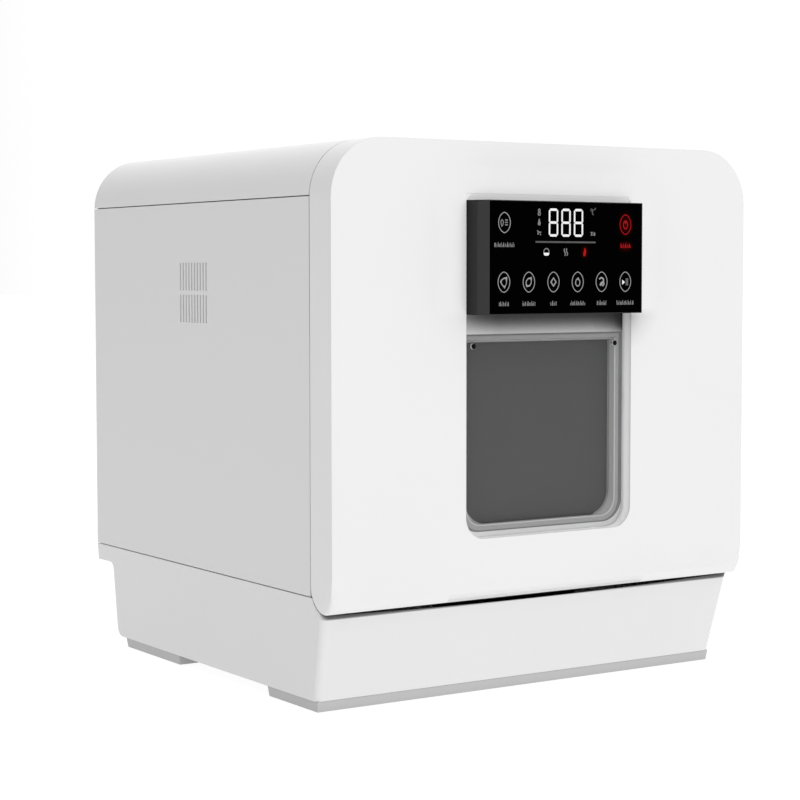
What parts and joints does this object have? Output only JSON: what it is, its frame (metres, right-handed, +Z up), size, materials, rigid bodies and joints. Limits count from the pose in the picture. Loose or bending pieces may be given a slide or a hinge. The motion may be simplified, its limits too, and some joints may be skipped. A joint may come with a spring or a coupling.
{
  "type": "countertop dishwasher",
  "caption": "Compact white countertop dishwasher with a drop-down windowed door, black touch panel, wire rack, spray arms, water tank and drying blower.",
  "frame": {"origin": "centre of the footprint on the worktop, under the rubber feet", "axes": "+Z up, -Y towards the front door and its control panel, +X to the right seen from the front"},
  "size_m": [0.42, 0.4446, 0.45],
  "materials": {
    "white_shell": "satin moulded shell",
    "white_panel": "satin powder coat",
    "inner_white": "matt moulded plastic",
    "black_gloss": "gloss black",
    "black_glass": "gloss touch glass",
    "window_glass": "clear tempered glass",
    "seal_rubber": "matt",
    "steel": "brushed",
    "zinc_steel": "zinc plated",
    "hose_grey": "matt",
    "pump_grey": "matt",
    "rotor_tan": "matt",
    "tank_plastic": "translucent milky",
    "basket_grey": "satin",
    "spray_grey": "satin",
    "wire_coat": "nylon coated wire",
    "board_green": "solder mask",
    "heater_steel": "dull"
  },
  "bodies": {
    "cabinet": {"base_shell": "white_shell", "base_plate": "steel", "front_foot_rail": "white_shell", "rear_foot_rail": "white_shell", "foot_pads": "seal_rubber", "left_panel": "white_panel", "right_panel": "white_panel", "top_cover": "white_shell", "rear_panel": "white_panel", "tub": "steel", "tub_front_frame": "inner_white", "door_gasket": "seal_rubber", "sump": "spray_grey", "filter_cup": "basket_grey", "filter_plate": "steel", "heater_ring": "heater_steel", "wash_pump_housing": "pump_grey", "wash_pump_motor": "pump_grey", "drain_pump_housing": "pump_grey", "water_tank": "tank_plastic", "fill_funnel": "inner_white", "blower_housing": "pump_grey", "air_duct": "inner_white", "feed_pipe": "spray_grey", "hinge_brackets": "zinc_steel", "door_latch": "inner_white", "power_board": "board_green", "inner_hoses": "hose_grey", "drain_outlet": "hose_grey", "water_inlet": "hose_grey", "cord_gland": "seal_rubber", "cabinet_screws": "zinc_steel", "roller_axles": "zinc_steel"},
    "door": {"door_outer": "white_shell", "door_inner": "inner_white", "window_bezel": "white_shell", "outer_pane": "window_glass", "inner_pane": "window_glass", "window_seal": "seal_rubber", "window_screws": "zinc_steel", "control_housing": "black_gloss", "touch_glass": "black_glass", "display_board": "board_green", "door_screws": "zinc_steel", "hinge_yokes": "zinc_steel", "latch_strike": "zinc_steel", "detergent_cup": "basket_grey"},
    "rack": {"rack_frame": "wire_coat", "cutlery_basket": "basket_grey"},
    "detergent_lid": {"detergent_lid": "basket_grey"},
    "fill_lid": {"fill_lid": "inner_white"},
    "lower_arm": {"lower_arm": "spray_grey"},
    "upper_arm": {"upper_arm": "spray_grey"},
    "wash_impeller": {"wash_impeller": "rotor_tan"},
    "drain_impeller": {"drain_impeller": "rotor_tan"},
    "blower_rotor": {"blower_rotor": "pump_grey"},
    "roller_front_left": {"roller_front_left": "inner_white"},
    "roller_front_right": {"roller_front_right": "inner_white"},
    "roller_rear_left": {"roller_rear_left": "inner_white"},
    "roller_rear_right": {"roller_rear_right": "inner_white"}
  },
  "joints": [
    {"name": "door_hinge", "type": "hinge", "parent": "cabinet", "child": "door", "pos_m": [0, -0.1905, 0.1029], "axis": [1, 0, 0], "range_deg": [0, 90]},
    {"name": "rack_slide", "type": "slide", "parent": "cabinet", "child": "rack", "axis": [0, -1, 0], "range_m": [0, 0.128]},
    {"name": "lid_slide", "type": "slide", "parent": "door", "child": "detergent_lid", "axis": [1, 0, 0], "range_m": [0, 0.044]},
    {"name": "fill_lid_hinge", "type": "hinge", "parent": "cabinet", "child": "fill_lid", "pos_m": [0.095, 0.2042, 0.4459], "axis": [-1, 0, 0], "range_deg": [0, 100]},
    {"name": "lower_arm_spin", "type": "hinge", "parent": "cabinet", "child": "lower_arm", "pos_m": [0, -0.0169, 0.144], "axis": [0, 0, 1], "continuous": true},
    {"name": "upper_arm_spin", "type": "hinge", "parent": "cabinet", "child": "upper_arm", "pos_m": [0, -0.0169, 0.377], "axis": [0, 0, 1], "continuous": true},
    {"name": "wash_pump_spin", "type": "hinge", "parent": "cabinet", "child": "wash_impeller", "pos_m": [0.03, 0.0251, 0.0444], "axis": [1, 0, 0], "continuous": true},
    {"name": "drain_pump_spin", "type": "hinge", "parent": "cabinet", "child": "drain_impeller", "pos_m": [-0.085, 0.0251, 0.0354], "axis": [1, 0, 0], "continuous": true},
    {"name": "blower_spin", "type": "hinge", "parent": "cabinet", "child": "blower_rotor", "pos_m": [-0.19, 0.0253, 0.329], "axis": [1, 0, 0], "continuous": true},
    {"name": "roller_front_left_spin", "type": "hinge", "parent": "cabinet", "child": "roller_front_left", "pos_m": [-0.1662, -0.1429, 0.178], "axis": [1, 0, 0], "continuous": true},
    {"name": "roller_rear_left_spin", "type": "hinge", "parent": "cabinet", "child": "roller_rear_left", "pos_m": [-0.1662, -0.0669, 0.178], "axis": [1, 0, 0], "continuous": true},
    {"name": "roller_front_right_spin", "type": "hinge", "parent": "cabinet", "child": "roller_front_right", "pos_m": [0.1662, -0.1429, 0.178], "axis": [1, 0, 0], "continuous": true},
    {"name": "roller_rear_right_spin", "type": "hinge", "parent": "cabinet", "child": "roller_rear_right", "pos_m": [0.1662, -0.0669, 0.178], "axis": [1, 0, 0], "continuous": true}
  ],
  "couplings": [
    {"joint": "rack_slide", "follows": "door_hinge", "m_per_rad": 0.08}
  ]
}
